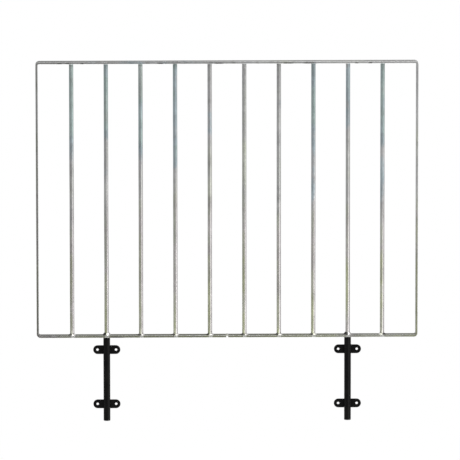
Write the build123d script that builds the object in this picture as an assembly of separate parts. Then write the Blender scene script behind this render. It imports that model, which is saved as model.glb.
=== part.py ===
from build123d import *
import math
import os

# Drop-in grille for the top of a stable door or low gate, in millimetres.
# A hoop of flat bar holds a row of round uprights. Two uprights run on below the hoop as legs,
# which stand loose in a pair of tubular sockets that screw to the face of the door.
#
# Frame: +Z up, +X to the right seen from the grille's own side, +Y into the door.
# The origin is the centre of the whole screw pattern, on the face of the door.

# Hoop of flat bar, set on edge so that its depth runs front to back
FRAME_WIDTH = 1067.0
FRAME_HEIGHT = 782.0
FLAT_DEPTH = 25.0
FLAT_THICKNESS = 6.0
BEND_INNER_RADIUS = 4.5

# Butt joint in the middle of the bottom rail, bridged by weld along its upper side only
BUTT_GAP = 6.0
BUTT_NOTCH_HEIGHT = 4.0
BUTT_WELD_LAP = 1.5
BUTT_WELD_CROWN = 1.0

# Round uprights
BAR_DIAMETER = 12.0
BAR_COUNT = 10
LEG_BAR_PLACE = 2
LEG_HOLE_CLEARANCE = 0.5
LEG_TIP_CHAMFER = 1.5
LEG_TIP_TO_TUBE_END = 35.0

# Fillet welds round the ends of the uprights: how far each spreads on the rail and climbs the bar
TOP_WELD_SPREAD = 2.5
TOP_WELD_CLIMB = 2.5
FOOT_WELD_SPREAD = 5.5
FOOT_WELD_CLIMB = 4.0
LEG_WELD_TO_RAIL_EDGE = 0.5
LEG_WELD_CLIMB = 8.0

# Sockets
LEG_TO_BORE_CLEARANCE = 1.9
TUBE_WALL = 1.6
TUBE_TOP_TO_STRAP = 38.0
STRAP_SPACING = 155.0
STRAP_TO_TUBE_END = 45.0
EAR_LENGTH = 28.5
STRAP_HEIGHT = 25.0
STRAP_THICKNESS = 3.0
SCREW_HOLE_DIAMETER = 7.0
SCREW_HOLE_TO_EAR_END = 12.0

# Weld beads in the crevice between a tube and its straps
BEAD_ROOT_ANGLE = 15.0
BEAD_FACE_ANGLE = 50.0
BEAD_TOE = 1.2
BEAD_END_GAP = 2.0

# Worked out from the sizes above
BAR_RADIUS = BAR_DIAMETER / 2
BEND_OUTER_RADIUS = BEND_INNER_RADIUS + FLAT_THICKNESS
LEG_WELD_SPREAD = FLAT_DEPTH / 2 - BAR_RADIUS - LEG_WELD_TO_RAIL_EDGE
BAR_PITCH = (FRAME_WIDTH - FLAT_THICKNESS) / (BAR_COUNT + 1)
BORE_RADIUS = BAR_RADIUS + LEG_TO_BORE_CLEARANCE
TUBE_RADIUS = BORE_RADIUS + TUBE_WALL
TUBE_LENGTH = TUBE_TOP_TO_STRAP + STRAP_SPACING + STRAP_TO_TUBE_END
LEG_LENGTH = TUBE_LENGTH - LEG_TIP_TO_TUBE_END
STRAP_LENGTH = 2 * (TUBE_RADIUS + EAR_LENGTH)
HOLE_OFFSET = STRAP_LENGTH / 2 - SCREW_HOLE_TO_EAR_END

BAR_Y = -(STRAP_THICKNESS + TUBE_RADIUS)
UPPER_STRAP_Z = STRAP_SPACING / 2
LOWER_STRAP_Z = -STRAP_SPACING / 2
FRAME_BOTTOM_Z = UPPER_STRAP_Z + TUBE_TOP_TO_STRAP
FRAME_TOP_Z = FRAME_BOTTOM_Z + FRAME_HEIGHT
BOTTOM_RAIL_TOP_Z = FRAME_BOTTOM_Z + FLAT_THICKNESS
TOP_RAIL_UNDERSIDE_Z = FRAME_TOP_Z - FLAT_THICKNESS
LEG_TIP_Z = FRAME_BOTTOM_Z - LEG_LENGTH
TUBE_BOTTOM_Z = FRAME_BOTTOM_Z - TUBE_LENGTH


def bar_x(place):
    """X of an upright, counted from 1 at the left."""
    return place * BAR_PITCH - (FRAME_WIDTH - FLAT_THICKNESS) / 2


LEG_PLACES = (LEG_BAR_PLACE, BAR_COUNT + 1 - LEG_BAR_PLACE)
SHORT_PLACES = tuple(place for place in range(1, BAR_COUNT + 1) if place not in LEG_PLACES)
LEG_X = tuple(bar_x(place) for place in LEG_PLACES)


def facing_front(y):
    """Sketch plane at y, with X to the right and Z up. Extrusions from it come forward, to -Y."""
    return Plane(origin=(0, y, 0), x_dir=(1, 0, 0), z_dir=(0, -1, 0))


def round_rod(x, radius, z_low, z_high):
    """Upright round rod or drill on the line of the bars."""
    return extrude(Plane.XY.offset(z_low) * Pos(x, BAR_Y) * Circle(radius), amount=z_high - z_low)


def frame_hoop():
    """Flat bar bent round four corners, open at the butt joint and drilled for the two legs."""
    back = facing_front(BAR_Y + FLAT_DEPTH / 2)
    middle = Pos(0, (FRAME_BOTTOM_Z + FRAME_TOP_Z) / 2)
    outside = RectangleRounded(FRAME_WIDTH, FRAME_HEIGHT, BEND_OUTER_RADIUS)
    inside_width = FRAME_WIDTH - 2 * FLAT_THICKNESS
    inside_height = FRAME_HEIGHT - 2 * FLAT_THICKNESS
    inside = RectangleRounded(inside_width, inside_height, BEND_INNER_RADIUS)
    gap = Pos(0, FRAME_BOTTOM_Z + FLAT_THICKNESS / 2) * Rectangle(BUTT_GAP, FLAT_THICKNESS)
    hoop = extrude(back * (middle * (outside - inside) - gap), amount=FLAT_DEPTH)
    for x in LEG_X:
        hoop -= round_rod(x, BAR_RADIUS + LEG_HOLE_CLEARANCE, FRAME_BOTTOM_Z, BOTTOM_RAIL_TOP_Z)
    return hoop


def frame_joint_weld():
    """Weld that bridges the butt joint along its upper side and laps a little onto both ends."""
    half_gap = BUTT_GAP / 2
    half_lap = half_gap + BUTT_WELD_LAP
    low = FRAME_BOTTOM_Z + BUTT_NOTCH_HEIGHT
    top = BOTTOM_RAIL_TOP_Z
    root = Polyline(
        (-half_lap, top), (-half_gap, top), (-half_gap, low), (half_gap, low), (half_gap, top), (half_lap, top)
    )
    crown = ThreePointArc((half_lap, top), (0, top + BUTT_WELD_CROWN), (-half_lap, top))
    back = facing_front(BAR_Y + FLAT_DEPTH / 2)
    return extrude(back * make_face(root + crown), amount=FLAT_DEPTH)


def short_bar(x):
    """Upright that ends on both rails."""
    return round_rod(x, BAR_RADIUS, BOTTOM_RAIL_TOP_Z, TOP_RAIL_UNDERSIDE_Z)


def leg_bar(x):
    """Upright that runs on through the bottom rail as a leg, with a bevelled tip."""
    bar = round_rod(x, BAR_RADIUS, LEG_TIP_Z, TOP_RAIL_UNDERSIDE_Z)
    return chamfer(bar.edges().sort_by(Axis.Z)[0], LEG_TIP_CHAMFER)


def bar_end_weld(x, rail_z, spread, climb):
    """Fillet weld round one end of an upright, on a rail face at rail_z. A negative climb hangs down."""
    section = Polygon((BAR_RADIUS, 0), (BAR_RADIUS + spread, 0), (BAR_RADIUS, climb), align=None)
    ring = revolve(Plane.XZ * section, axis=Axis.Z)
    return Pos(x, BAR_Y, rail_z) * ring


def socket_tube(x):
    """Plain tube, open at both ends, that a leg stands in."""
    tube = round_rod(x, TUBE_RADIUS, TUBE_BOTTOM_Z, FRAME_BOTTOM_Z)
    return tube - round_rod(x, BORE_RADIUS, TUBE_BOTTOM_Z, FRAME_BOTTOM_Z)


def screw_strap(x, z):
    """Flat strap behind a tube, with a screw hole in each rounded ear."""
    outline = SlotOverall(STRAP_LENGTH, STRAP_HEIGHT)
    for offset in (-HOLE_OFFSET, HOLE_OFFSET):
        outline -= Pos(offset, 0) * Circle(SCREW_HOLE_DIAMETER / 2)
    return extrude(facing_front(0) * Pos(x, z) * outline, amount=STRAP_THICKNESS)


def strap_weld_bead(x, z, side):
    """Bead in the crevice between a tube and the front of a strap, on one side of the tube."""
    root = math.radians(BEAD_ROOT_ANGLE)
    face = math.radians(BEAD_FACE_ANGLE)
    root_x = TUBE_RADIUS * math.sin(root)
    face_x = TUBE_RADIUS * math.sin(face)
    corners = (
        (side * root_x, TUBE_RADIUS * math.cos(root)),
        (side * root_x, TUBE_RADIUS),
        (side * (face_x + BEAD_TOE), TUBE_RADIUS),
        (side * face_x, TUBE_RADIUS * math.cos(face)),
    )
    section = Polygon(*corners, align=None) - Circle(TUBE_RADIUS)
    length = STRAP_HEIGHT - 2 * BEAD_END_GAP
    return extrude(Plane.XY.offset(z - length / 2) * Pos(x, BAR_Y) * section, amount=length)


def group(solids):
    """Separate solids that share one node."""
    return Compound(children=[solid for made in solids for solid in made.solids()])


def all_nodes():
    """Every node by name, from the hoop down to the sockets."""
    nodes = {"frame_hoop": frame_hoop(), "frame_joint_weld": frame_joint_weld()}
    for number, place in enumerate(SHORT_PLACES, start=1):
        nodes[f"short_bar_{number}"] = short_bar(bar_x(place))
    every_x = [bar_x(place) for place in range(1, BAR_COUNT + 1)]
    short_x = [bar_x(place) for place in SHORT_PLACES]
    nodes["bar_top_welds"] = group(
        bar_end_weld(x, TOP_RAIL_UNDERSIDE_Z, TOP_WELD_SPREAD, -TOP_WELD_CLIMB) for x in every_x
    )
    nodes["bar_foot_welds"] = group(
        bar_end_weld(x, BOTTOM_RAIL_TOP_Z, FOOT_WELD_SPREAD, FOOT_WELD_CLIMB) for x in short_x
    )
    nodes["leg_bar_welds"] = group(
        bar_end_weld(x, BOTTOM_RAIL_TOP_Z, LEG_WELD_SPREAD, LEG_WELD_CLIMB) for x in LEG_X
    )
    for hand, x in zip(("left", "right"), LEG_X):
        nodes[f"{hand}_leg_bar"] = leg_bar(x)
        nodes[f"{hand}_socket_tube"] = socket_tube(x)
        nodes[f"{hand}_upper_strap"] = screw_strap(x, UPPER_STRAP_Z)
        nodes[f"{hand}_lower_strap"] = screw_strap(x, LOWER_STRAP_Z)
        nodes[f"{hand}_strap_welds"] = group(
            strap_weld_bead(x, z, side) for z in (UPPER_STRAP_Z, LOWER_STRAP_Z) for side in (-1, 1)
        )
    return nodes


os.makedirs("parts", exist_ok=True)
for name, shape in all_nodes().items():
    export_step(shape, f"parts/{name}.step")
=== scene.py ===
"""Finished look of a drop-in stable grille and its pair of screw-on sockets.

The grille is a hoop of flat bar with round uprights, bright zinc plated after welding. Two uprights
run on as legs into sockets made of tube and flat straps, painted satin black. Every length is in
metres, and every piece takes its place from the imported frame.
"""

import logging
import math
import random
from dataclasses import dataclass, field
from enum import Enum
from typing import ClassVar, Iterable, Optional, Sequence

import bmesh
import bpy
from mathutils import Matrix, Vector, noise


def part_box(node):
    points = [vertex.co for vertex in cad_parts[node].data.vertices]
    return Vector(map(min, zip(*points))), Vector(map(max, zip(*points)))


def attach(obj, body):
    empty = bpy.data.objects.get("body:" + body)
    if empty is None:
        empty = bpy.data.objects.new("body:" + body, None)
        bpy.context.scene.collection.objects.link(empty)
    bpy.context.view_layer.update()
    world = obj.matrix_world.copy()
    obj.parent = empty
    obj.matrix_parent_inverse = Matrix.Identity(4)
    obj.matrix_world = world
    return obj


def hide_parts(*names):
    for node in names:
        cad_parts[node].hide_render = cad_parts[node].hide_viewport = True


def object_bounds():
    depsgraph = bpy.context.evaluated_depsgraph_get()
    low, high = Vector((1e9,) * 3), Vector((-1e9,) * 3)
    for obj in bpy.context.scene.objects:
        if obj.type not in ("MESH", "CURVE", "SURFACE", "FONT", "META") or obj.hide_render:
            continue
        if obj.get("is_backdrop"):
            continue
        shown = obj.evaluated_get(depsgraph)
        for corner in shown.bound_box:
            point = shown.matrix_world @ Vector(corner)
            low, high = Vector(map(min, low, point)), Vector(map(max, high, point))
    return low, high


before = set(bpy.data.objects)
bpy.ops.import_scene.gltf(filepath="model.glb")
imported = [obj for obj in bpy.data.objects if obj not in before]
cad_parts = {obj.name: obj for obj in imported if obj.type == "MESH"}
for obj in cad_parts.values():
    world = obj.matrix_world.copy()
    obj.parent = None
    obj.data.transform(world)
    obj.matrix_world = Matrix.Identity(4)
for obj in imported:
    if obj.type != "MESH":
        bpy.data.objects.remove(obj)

LOG = logging.getLogger("stable_grille")

Colour = tuple[float, float, float]
# Places on a colour ramp, each with its colour.
Stops = tuple[tuple[float, Colour], ...]
# Two lengths and the wear, at one step along or round a shape.
Station = tuple[float, float, float]

MM = 0.001
QUARTER_TURN = math.pi / 2
FULL_TURN = 2 * math.pi
X_AXIS = Vector((1, 0, 0))
Y_AXIS = Vector((0, 1, 0))
Z_AXIS = Vector((0, 0, 1))
BLACK: Colour = (0.0, 0.0, 0.0)
WHITE: Colour = (1.0, 1.0, 1.0)

# The wear layer holds real edge wear, and on the hoop also a painted highlight below each bar's foot.
WEAR_AND_HIGHLIGHT_LAYER = "wear"
# The soot layer holds weld soot and heat marks, and also painted shadow and shade beside the bars' feet and
# darkening at weld toes.
SOOT_AND_SHADE_LAYER = "soot_and_shade"
BATCH_LAYER = "batch"

GRILLE_BODY = "grille"
SOCKET_BODY = "sockets"
HOOP_NODE = "frame_hoop"
BUTT_WELD_NODE = "frame_joint_weld"

SOFT_CREASE_DEG = 50.0
FLAT_CREASE_DEG = 60.0
WELD_CREASE_DEG = 70.0


class Hand(Enum):
    """Which of the two sockets or legs."""

    LEFT = "left"
    RIGHT = "right"


class Level(Enum):
    """Which of a socket's two straps."""

    UPPER = "upper"
    LOWER = "lower"


class Slot(Enum):
    """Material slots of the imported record."""

    PLATE = "zinc_plate"
    WELD = "zinc_weld"
    PAINT = "black_paint"
    PAINTED_WELD = "black_weld"


@dataclass(frozen=True)
class Span:
    """Lowest and highest corner of a CAD node at rest."""

    low: Vector
    high: Vector

    @classmethod
    def of(cls, node: str) -> "Span":
        """Span of the named node."""
        low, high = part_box(node)
        return cls(low, high)

    @property
    def middle(self) -> Vector:
        """Centre of the span."""
        return (self.low + self.high) / 2

    @property
    def size(self) -> Vector:
        """Width, depth and height."""
        return self.high - self.low


# --------------------------------------------------------------------------------------------
# Mesh drafting
# --------------------------------------------------------------------------------------------


@dataclass
class Draft:
    """Points and faces of one piece while it is being made, with wear and soot kept per point; the soot also
    holds painted shadow and shade, and on the hoop the wear a painted highlight.
    """

    points: list[Vector] = field(default_factory=list)
    faces: list[tuple[int, ...]] = field(default_factory=list)
    wear: list[float] = field(default_factory=list)
    soot_and_shade: list[float] = field(default_factory=list)

    def loop(self, points: Iterable[Vector], wear: float = 0.0, soot_and_shade: float = 0.0) -> list[int]:
        """Adds a loop of points that share one wear and one soot value.

        Args:
            points: the loop's points in order.
            wear: how far the finish is rubbed there, 0 to 1.
            soot_and_shade: how dark the weld residue and any painted shade are there, 0 to 1.

        Returns:
            The indices of the new points.
        """
        first = len(self.points)
        self.points.extend(points)
        count = len(self.points) - first
        self.wear.extend([wear] * count)
        self.soot_and_shade.extend([soot_and_shade] * count)
        return list(range(first, first + count))

    def bridge(self, first: Sequence[int], second: Sequence[int]) -> None:
        """Joins two closed loops of the same length with quads.

        Args:
            first: indices of one loop.
            second: indices of the next loop, in step with the first.
        """
        count = len(first)
        for i in range(count):
            j = (i + 1) % count
            self.faces.append((first[i], first[j], second[j], second[i]))

    def skin(self, loops: Sequence[Sequence[int]], around: bool = False) -> None:
        """Bridges a row of loops.

        Args:
            loops: the loops in order.
            around: whether the last loop joins back to the first.
        """
        for first, second in zip(loops, loops[1:]):
            self.bridge(first, second)
        if around:
            self.bridge(loops[-1], loops[0])

    def cap(self, loop: Sequence[int]) -> None:
        """Closes a loop with one face."""
        self.faces.append(tuple(loop))

    def rod(self, loops: Sequence[Sequence[int]]) -> None:
        """Bridges a row of loops and closes both ends.

        Args:
            loops: the loops in order.
        """
        self.skin(loops)
        self.cap(loops[0])
        self.cap(loops[-1])

    def fill(self, loops: Sequence[Sequence[int]]) -> None:
        """Fills the flat area between one outer loop and any holes in it.

        Args:
            loops: the outer loop, then the loops of its holes, all in one plane.
        """
        work = bmesh.new()
        lookup: dict[bmesh.types.BMVert, int] = {}
        for loop in loops:
            corners = [work.verts.new(self.points[i]) for i in loop]
            lookup.update(zip(corners, loop))
            for i, corner in enumerate(corners):
                work.edges.new((corner, corners[(i + 1) % len(corners)]))
        made = bmesh.ops.triangle_fill(work, use_beauty=True, use_dissolve=False, edges=work.edges[:])
        for face in made["geom"]:
            if isinstance(face, bmesh.types.BMFace):
                self.faces.append(tuple(lookup[v] for v in face.verts))
        work.free()

    def build(self, name: str, crease_deg: float = SOFT_CREASE_DEG, batch: float = 0.0) -> bpy.types.Object:
        """Makes the object from what was drafted.

        Args:
            name: the piece's name.
            crease_deg: edges sharper than this stay crisp.
            batch: shifts the piece's plating film, as bars from another batch look.

        Returns:
            The new object, with outward normals and smooth shading.
        """
        mesh = bpy.data.meshes.new(name)
        mesh.from_pydata([tuple(p) for p in self.points], [], self.faces)
        batches = [batch] * len(self.points)
        for layer, values in ((WEAR_AND_HIGHLIGHT_LAYER, self.wear), (SOOT_AND_SHADE_LAYER, self.soot_and_shade), (BATCH_LAYER, batches)):
            mesh.attributes.new(layer, "FLOAT", "POINT").data.foreach_set("value", values)
        work = bmesh.new()
        work.from_mesh(mesh)
        bmesh.ops.recalc_face_normals(work, faces=work.faces[:])
        work.to_mesh(mesh)
        work.free()
        mesh.shade_smooth()
        mesh.set_sharp_from_angle(angle=math.radians(crease_deg))
        piece = bpy.data.objects.new(name, mesh)
        bpy.context.scene.collection.objects.link(piece)
        return piece


def circle(centre: Vector, radius: float, count: int, up: Vector = Y_AXIS) -> list[Vector]:
    """Points round a circle, starting on its right.

    Args:
        centre: the circle's centre.
        radius: its radius.
        count: how many points.
        up: unit direction a quarter turn on from the first point.

    Returns:
        The points in order.
    """
    turns = (FULL_TURN * i / count for i in range(count))
    return [centre + X_AXIS * (radius * math.cos(t)) + up * (radius * math.sin(t)) for t in turns]


def quarter_turns(steps: int) -> list[float]:
    """Angles from nothing to a quarter turn, in equal steps."""
    return [QUARTER_TURN * i / steps for i in range(steps + 1)]


def rounded_ends(low: float, high: float, radius: float, steps: int) -> list[Station]:
    """Stations along a rod whose two end edges are rounded.

    Args:
        low: where the rod starts.
        high: where it ends.
        radius: radius of the rounded edges.
        steps: how many steps each rounding has.

    Returns:
        (place, inset from the full radius, wear) for each station, from low to high.
    """
    start = [
        (low + radius * (1 - math.sin(turn)), radius * (1 - math.cos(turn)), 1.0)
        for turn in quarter_turns(steps)
    ]
    start.reverse()
    finish = [(low + high - place, inset, wear) for place, inset, wear in reversed(start)]
    return start + finish


def evenly(low: float, high: float, step: float) -> list[float]:
    """Places strictly between low and high, no further apart than step."""
    count = max(1, math.ceil((high - low) / step))
    return [low + (high - low) * i / count for i in range(1, count)]


def drill(piece: bpy.types.Object, cutters: Sequence[bpy.types.Object]) -> None:
    """Cuts solids out of a piece and deletes them.

    Args:
        piece: the piece that gets the holes.
        cutters: closed solids, one for each hole.
    """
    for cutter in cutters:
        step = piece.modifiers.new("drill", "BOOLEAN")
        step.operation = "DIFFERENCE"
        step.solver = "EXACT"
        step.object = cutter
    graph = bpy.context.evaluated_depsgraph_get()
    cut = bpy.data.meshes.new_from_object(piece.evaluated_get(graph))
    piece.modifiers.clear()
    piece.data = cut
    for cutter in cutters:
        bpy.data.objects.remove(cutter)


def keep_flats_flat(piece: bpy.types.Object) -> None:
    """Weights the normals so that broad flats stay flat beside their rounded edges.

    Args:
        piece: the piece with the flats.
    """
    step = piece.modifiers.new("flat_normals", "WEIGHTED_NORMAL")
    step.keep_sharp = True
    step.weight = 100


@dataclass(frozen=True)
class Ragged:
    """Factor that wanders about a middle value from place to place, in patches 1 / scale across."""

    middle: float
    swing: float
    scale: float

    def at(self, point: Vector) -> float:
        """The factor at a point."""
        return self.middle + self.swing * noise.noise(point * self.scale)


# --------------------------------------------------------------------------------------------
# Node wiring and shared effects
# --------------------------------------------------------------------------------------------


@dataclass(frozen=True)
class Grain:
    """Noise pattern: cells to the metre, octaves, weight of the finer ones, and stretch on each axis."""

    scale: float
    detail: float = 2.0
    roughness: float = 0.5
    stretch: tuple[float, float, float] = (1.0, 1.0, 1.0)


class Wiring:
    """Short hand for adding and joining nodes in one tree."""

    # A mix node has a set of sockets for each kind of value. These are the ones for colours.
    COLOUR_INPUTS = (6, 7)
    COLOUR_OUTPUT = 2

    def __init__(self, tree: bpy.types.NodeTree) -> None:
        """Keeps the tree that nodes are added to."""
        self.tree = tree

    def add(self, kind: str, **settings: object) -> bpy.types.Node:
        """Adds a node.

        Args:
            kind: the node's type without its ShaderNode prefix.
            **settings: properties to set on it.

        Returns:
            The node.
        """
        node = self.tree.nodes.new("ShaderNode" + kind)
        for name, value in settings.items():
            setattr(node, name, value)
        return node

    def feed(self, target: bpy.types.NodeSocket, source: object) -> None:
        """Links a socket into another, or sets a plain value on it.

        Args:
            target: the input socket.
            source: an output socket, a number, a vector or a colour without alpha.
        """
        if isinstance(source, bpy.types.NodeSocket):
            self.tree.links.new(source, target)
        elif target.type == "RGBA":
            target.default_value = (*source, 1.0)
        else:
            target.default_value = source

    def maths(self, operation: str, first: object, second: object = 0.0, third: object = 0.0,
              clamp: bool = False) -> bpy.types.NodeSocket:
        """Result of one math node.

        Args:
            operation: the node's operation.
            first: first operand.
            second: second operand.
            third: third operand.
            clamp: whether the result is kept in 0 to 1.

        Returns:
            The value output.
        """
        node = self.add("Math", operation=operation, use_clamp=clamp)
        for socket, operand in zip(node.inputs, (first, second, third)):
            self.feed(socket, operand)
        return node.outputs[0]

    def times(self, first: object, second: object) -> bpy.types.NodeSocket:
        """Product of two values."""
        return self.maths("MULTIPLY", first, second)

    def remap(self, value: object, low: float, high: float, to_low: float = 0.0,
              to_high: float = 1.0) -> bpy.types.NodeSocket:
        """Smoothly maps a value from one range to another.

        Args:
            value: the value to map.
            low: start of its range.
            high: end of its range.
            to_low: result at low.
            to_high: result at high.

        Returns:
            The mapped value.
        """
        node = self.add("MapRange", interpolation_type="SMOOTHSTEP")
        for socket, operand in zip(node.inputs, (value, low, high, to_low, to_high)):
            self.feed(socket, operand)
        return node.outputs[0]

    def blend(self, amount: object, first: object, second: object,
              mode: str = "MIX") -> bpy.types.NodeSocket:
        """Mixes two colours.

        Args:
            amount: how much of the second colour.
            first: first colour.
            second: second colour.
            mode: the blend type.

        Returns:
            The colour output.
        """
        node = self.add("Mix", data_type="RGBA", blend_type=mode, clamp_factor=True)
        self.feed(node.inputs[0], amount)
        for index, colour in zip(self.COLOUR_INPUTS, (first, second)):
            self.feed(node.inputs[index], colour)
        return node.outputs[self.COLOUR_OUTPUT]

    def grain(self, place: bpy.types.NodeSocket, grain: Grain) -> bpy.types.NodeSocket:
        """Noise value at a place.

        Args:
            place: the position socket.
            grain: the noise pattern.

        Returns:
            The noise value, about 0.5 on average.
        """
        mapping = self.add("Mapping")
        self.feed(mapping.inputs["Vector"], place)
        self.feed(mapping.inputs["Scale"], grain.stretch)
        node = self.add("TexNoise")
        self.feed(node.inputs["Vector"], mapping.outputs[0])
        self.feed(node.inputs["Scale"], grain.scale)
        self.feed(node.inputs["Detail"], grain.detail)
        self.feed(node.inputs["Roughness"], grain.roughness)
        return node.outputs[0]

    def ramp(self, value: object, stops: Stops) -> bpy.types.NodeSocket:
        """Colour ramp that eases from stop to stop.

        Args:
            value: what drives it.
            stops: (place, colour) pairs in order.

        Returns:
            The colour output.
        """
        node = self.add("ValToRGB")
        node.color_ramp.interpolation = "EASE"
        elements = node.color_ramp.elements
        while len(elements) < len(stops):
            elements.new(0.5)
        for element, (place, colour) in zip(elements, stops):
            element.position = place
            element.color = (*colour, 1.0)
        self.feed(node.inputs[0], value)
        return node.outputs[0]

    def axes(self, vector: bpy.types.NodeSocket) -> tuple[bpy.types.NodeSocket, ...]:
        """X, Y and Z of a vector.

        Args:
            vector: the vector socket.

        Returns:
            The three value outputs.
        """
        node = self.add("SeparateXYZ")
        self.feed(node.inputs[0], vector)
        return tuple(node.outputs)

    def here(self) -> bpy.types.NodeSocket:
        """Position on the piece."""
        return self.add("TexCoord").outputs["Object"]

    def facing(self) -> bpy.types.NodeSocket:
        """Direction that the surface faces."""
        return self.add("NewGeometry").outputs["Normal"]

    def layer(self, name: str) -> bpy.types.NodeSocket:
        """Value that the mesh keeps at its points under a name."""
        return self.add("Attribute", attribute_name=name).outputs["Fac"]

    def relief(self, height: object, strength: float, depth: float) -> bpy.types.NodeSocket:
        """Normal of a finely uneven surface.

        Args:
            height: the unevenness.
            strength: how strongly it shows, 0 to 1.
            depth: its depth in metres.

        Returns:
            The normal output.
        """
        node = self.add("Bump")
        self.feed(node.inputs["Strength"], strength)
        self.feed(node.inputs["Distance"], depth)
        self.feed(node.inputs["Height"], height)
        return node.outputs[0]


class Kind(Enum):
    """Kinds of node group socket."""

    NUMBER = "NodeSocketFloat"
    VECTOR = "NodeSocketVector"
    COLOUR = "NodeSocketColor"


Sockets = tuple[tuple[str, Kind], ...]


class Effect:
    """Pattern that several finishes share, kept as one shader node group."""

    name: ClassVar[str]
    takes: ClassVar[Sockets]
    gives: ClassVar[Sockets]

    def wire(self, w: Wiring, given: bpy.types.Node, out: bpy.types.Node) -> None:
        """Joins the group's nodes. Each kind of effect has its own."""
        raise NotImplementedError

    def build(self) -> bpy.types.NodeTree:
        """Makes the node group with its named sockets.

        Returns:
            The group.
        """
        group = bpy.data.node_groups.new(self.name, "ShaderNodeTree")
        for direction, sockets in (("INPUT", self.takes), ("OUTPUT", self.gives)):
            for label, kind in sockets:
                group.interface.new_socket(name=label, in_out=direction, socket_type=kind.value)
        self.wire(Wiring(group), group.nodes.new("NodeGroupInput"), group.nodes.new("NodeGroupOutput"))
        return group


@dataclass(frozen=True)
class PassivateFilm(Effect):
    """Rainbow film of the passivate: teal high up, olive and pale pink low down, in soft patches."""

    name: ClassVar[str] = "passivate_film"
    takes: ClassVar[Sockets] = (("Position", Kind.VECTOR), ("Height", Kind.NUMBER),
                                ("Shift", Kind.NUMBER), ("Patches", Kind.NUMBER))
    gives: ClassVar[Sockets] = (("Colour", Kind.COLOUR), ("Stain", Kind.NUMBER))
    drift: Grain = Grain(5.0)
    drift_middle: float = 0.33
    drift_gain: float = 0.8
    shift_gain: float = 1.6
    patch: Grain = Grain(24.0, 3.0, 0.55, (1.0, 1.0, 0.45))
    patch_middle: float = 0.5
    stain: Grain = Grain(38.0, 4.0, 0.6, (1.0, 1.0, 0.5))
    stain_from: float = 0.52
    stain_to: float = 0.72
    colours: Stops = (
        (0.00, (0.96, 0.98, 0.74)),
        (0.12, (0.94, 0.98, 0.66)),
        (0.22, (0.97, 0.98, 0.81)),
        (0.32, (1.00, 0.95, 0.93)),
        (0.42, (0.97, 0.99, 0.87)),
        (0.54, (1.00, 1.00, 0.98)),
        (0.66, (0.99, 0.98, 0.99)),
        (0.77, (0.80, 0.93, 1.00)),
        (0.88, (0.80, 0.97, 0.95)),
        (1.00, (0.90, 0.99, 0.96)),
    )

    def wire(self, w: Wiring, given: bpy.types.Node, out: bpy.types.Node) -> None:
        """Moves up and down the film's colours with height, batch and patches.

        Args:
            w: the group's wiring.
            given: its input node.
            out: its output node.
        """
        place = given.outputs["Position"]
        height = given.outputs["Height"]
        shift = w.times(given.outputs["Shift"], self.shift_gain)
        start = w.maths("MULTIPLY_ADD", shift, height, height)
        broad = w.maths("SUBTRACT", w.grain(place, self.drift), self.drift_middle)
        drift = w.maths("MULTIPLY_ADD", broad, self.drift_gain, start)
        patch = w.maths("SUBTRACT", w.grain(place, self.patch), self.patch_middle)
        phase = w.maths("ADD", drift, w.times(patch, given.outputs["Patches"]), clamp=True)
        stain = w.remap(w.grain(place, self.stain), self.stain_from, self.stain_to)
        w.feed(out.inputs["Colour"], w.ramp(phase, self.colours))
        w.feed(out.inputs["Stain"], stain)


@dataclass(frozen=True)
class DrawnMarks(Effect):
    """Fine lines along the bars from drawing and rolling, with small pits between them."""

    name: ClassVar[str] = "drawn_marks"
    takes: ClassVar[Sockets] = (("Position", Kind.VECTOR),)
    gives: ClassVar[Sockets] = (("Lines", Kind.NUMBER), ("Pits", Kind.NUMBER), ("Height", Kind.NUMBER))
    lines: Grain = Grain(900.0, 3.0, 0.6, (1.0, 1.0, 0.02))
    line_height: float = 0.45
    pits: Grain = Grain(420.0)
    pits_from: float = 0.62
    pits_to: float = 0.74
    pit_depth: float = 0.7
    dents: Grain = Grain(60.0)
    dent_height: float = 1.6

    def wire(self, w: Wiring, given: bpy.types.Node, out: bpy.types.Node) -> None:
        """Adds up lines, pits and shallow dents.

        Args:
            w: the group's wiring.
            given: its input node.
            out: its output node.
        """
        place = given.outputs["Position"]
        lines = w.grain(place, self.lines)
        pits = w.remap(w.grain(place, self.pits), self.pits_from, self.pits_to)
        dents = w.times(w.grain(place, self.dents), self.dent_height)
        height = w.maths("MULTIPLY_ADD", lines, self.line_height, dents)
        w.feed(out.inputs["Lines"], lines)
        w.feed(out.inputs["Pits"], pits)
        w.feed(out.inputs["Height"], w.maths("SUBTRACT", height, w.times(pits, self.pit_depth)))


@dataclass(frozen=True)
class EdgeWear(Effect):
    """Broken rubbing along the edges."""

    name: ClassVar[str] = "edge_wear"
    takes: ClassVar[Sockets] = (("Position", Kind.VECTOR), ("Edge", Kind.NUMBER), ("Amount", Kind.NUMBER))
    gives: ClassVar[Sockets] = (("Mask", Kind.NUMBER),)
    breaks: Grain = Grain(160.0, 4.0, 0.6)
    worn_from: float = -0.05
    worn_to: float = 0.3

    def wire(self, w: Wiring, given: bpy.types.Node, out: bpy.types.Node) -> None:
        """Lets the rubbing through where the noise is high enough.

        Args:
            w: the group's wiring.
            given: its input node.
            out: its output node.
        """
        breaks = w.maths("SUBTRACT", w.grain(given.outputs["Position"], self.breaks), 1.0)
        level = w.times(given.outputs["Edge"], given.outputs["Amount"])
        w.feed(out.inputs["Mask"], w.remap(w.maths("ADD", breaks, level), self.worn_from, self.worn_to))


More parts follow.
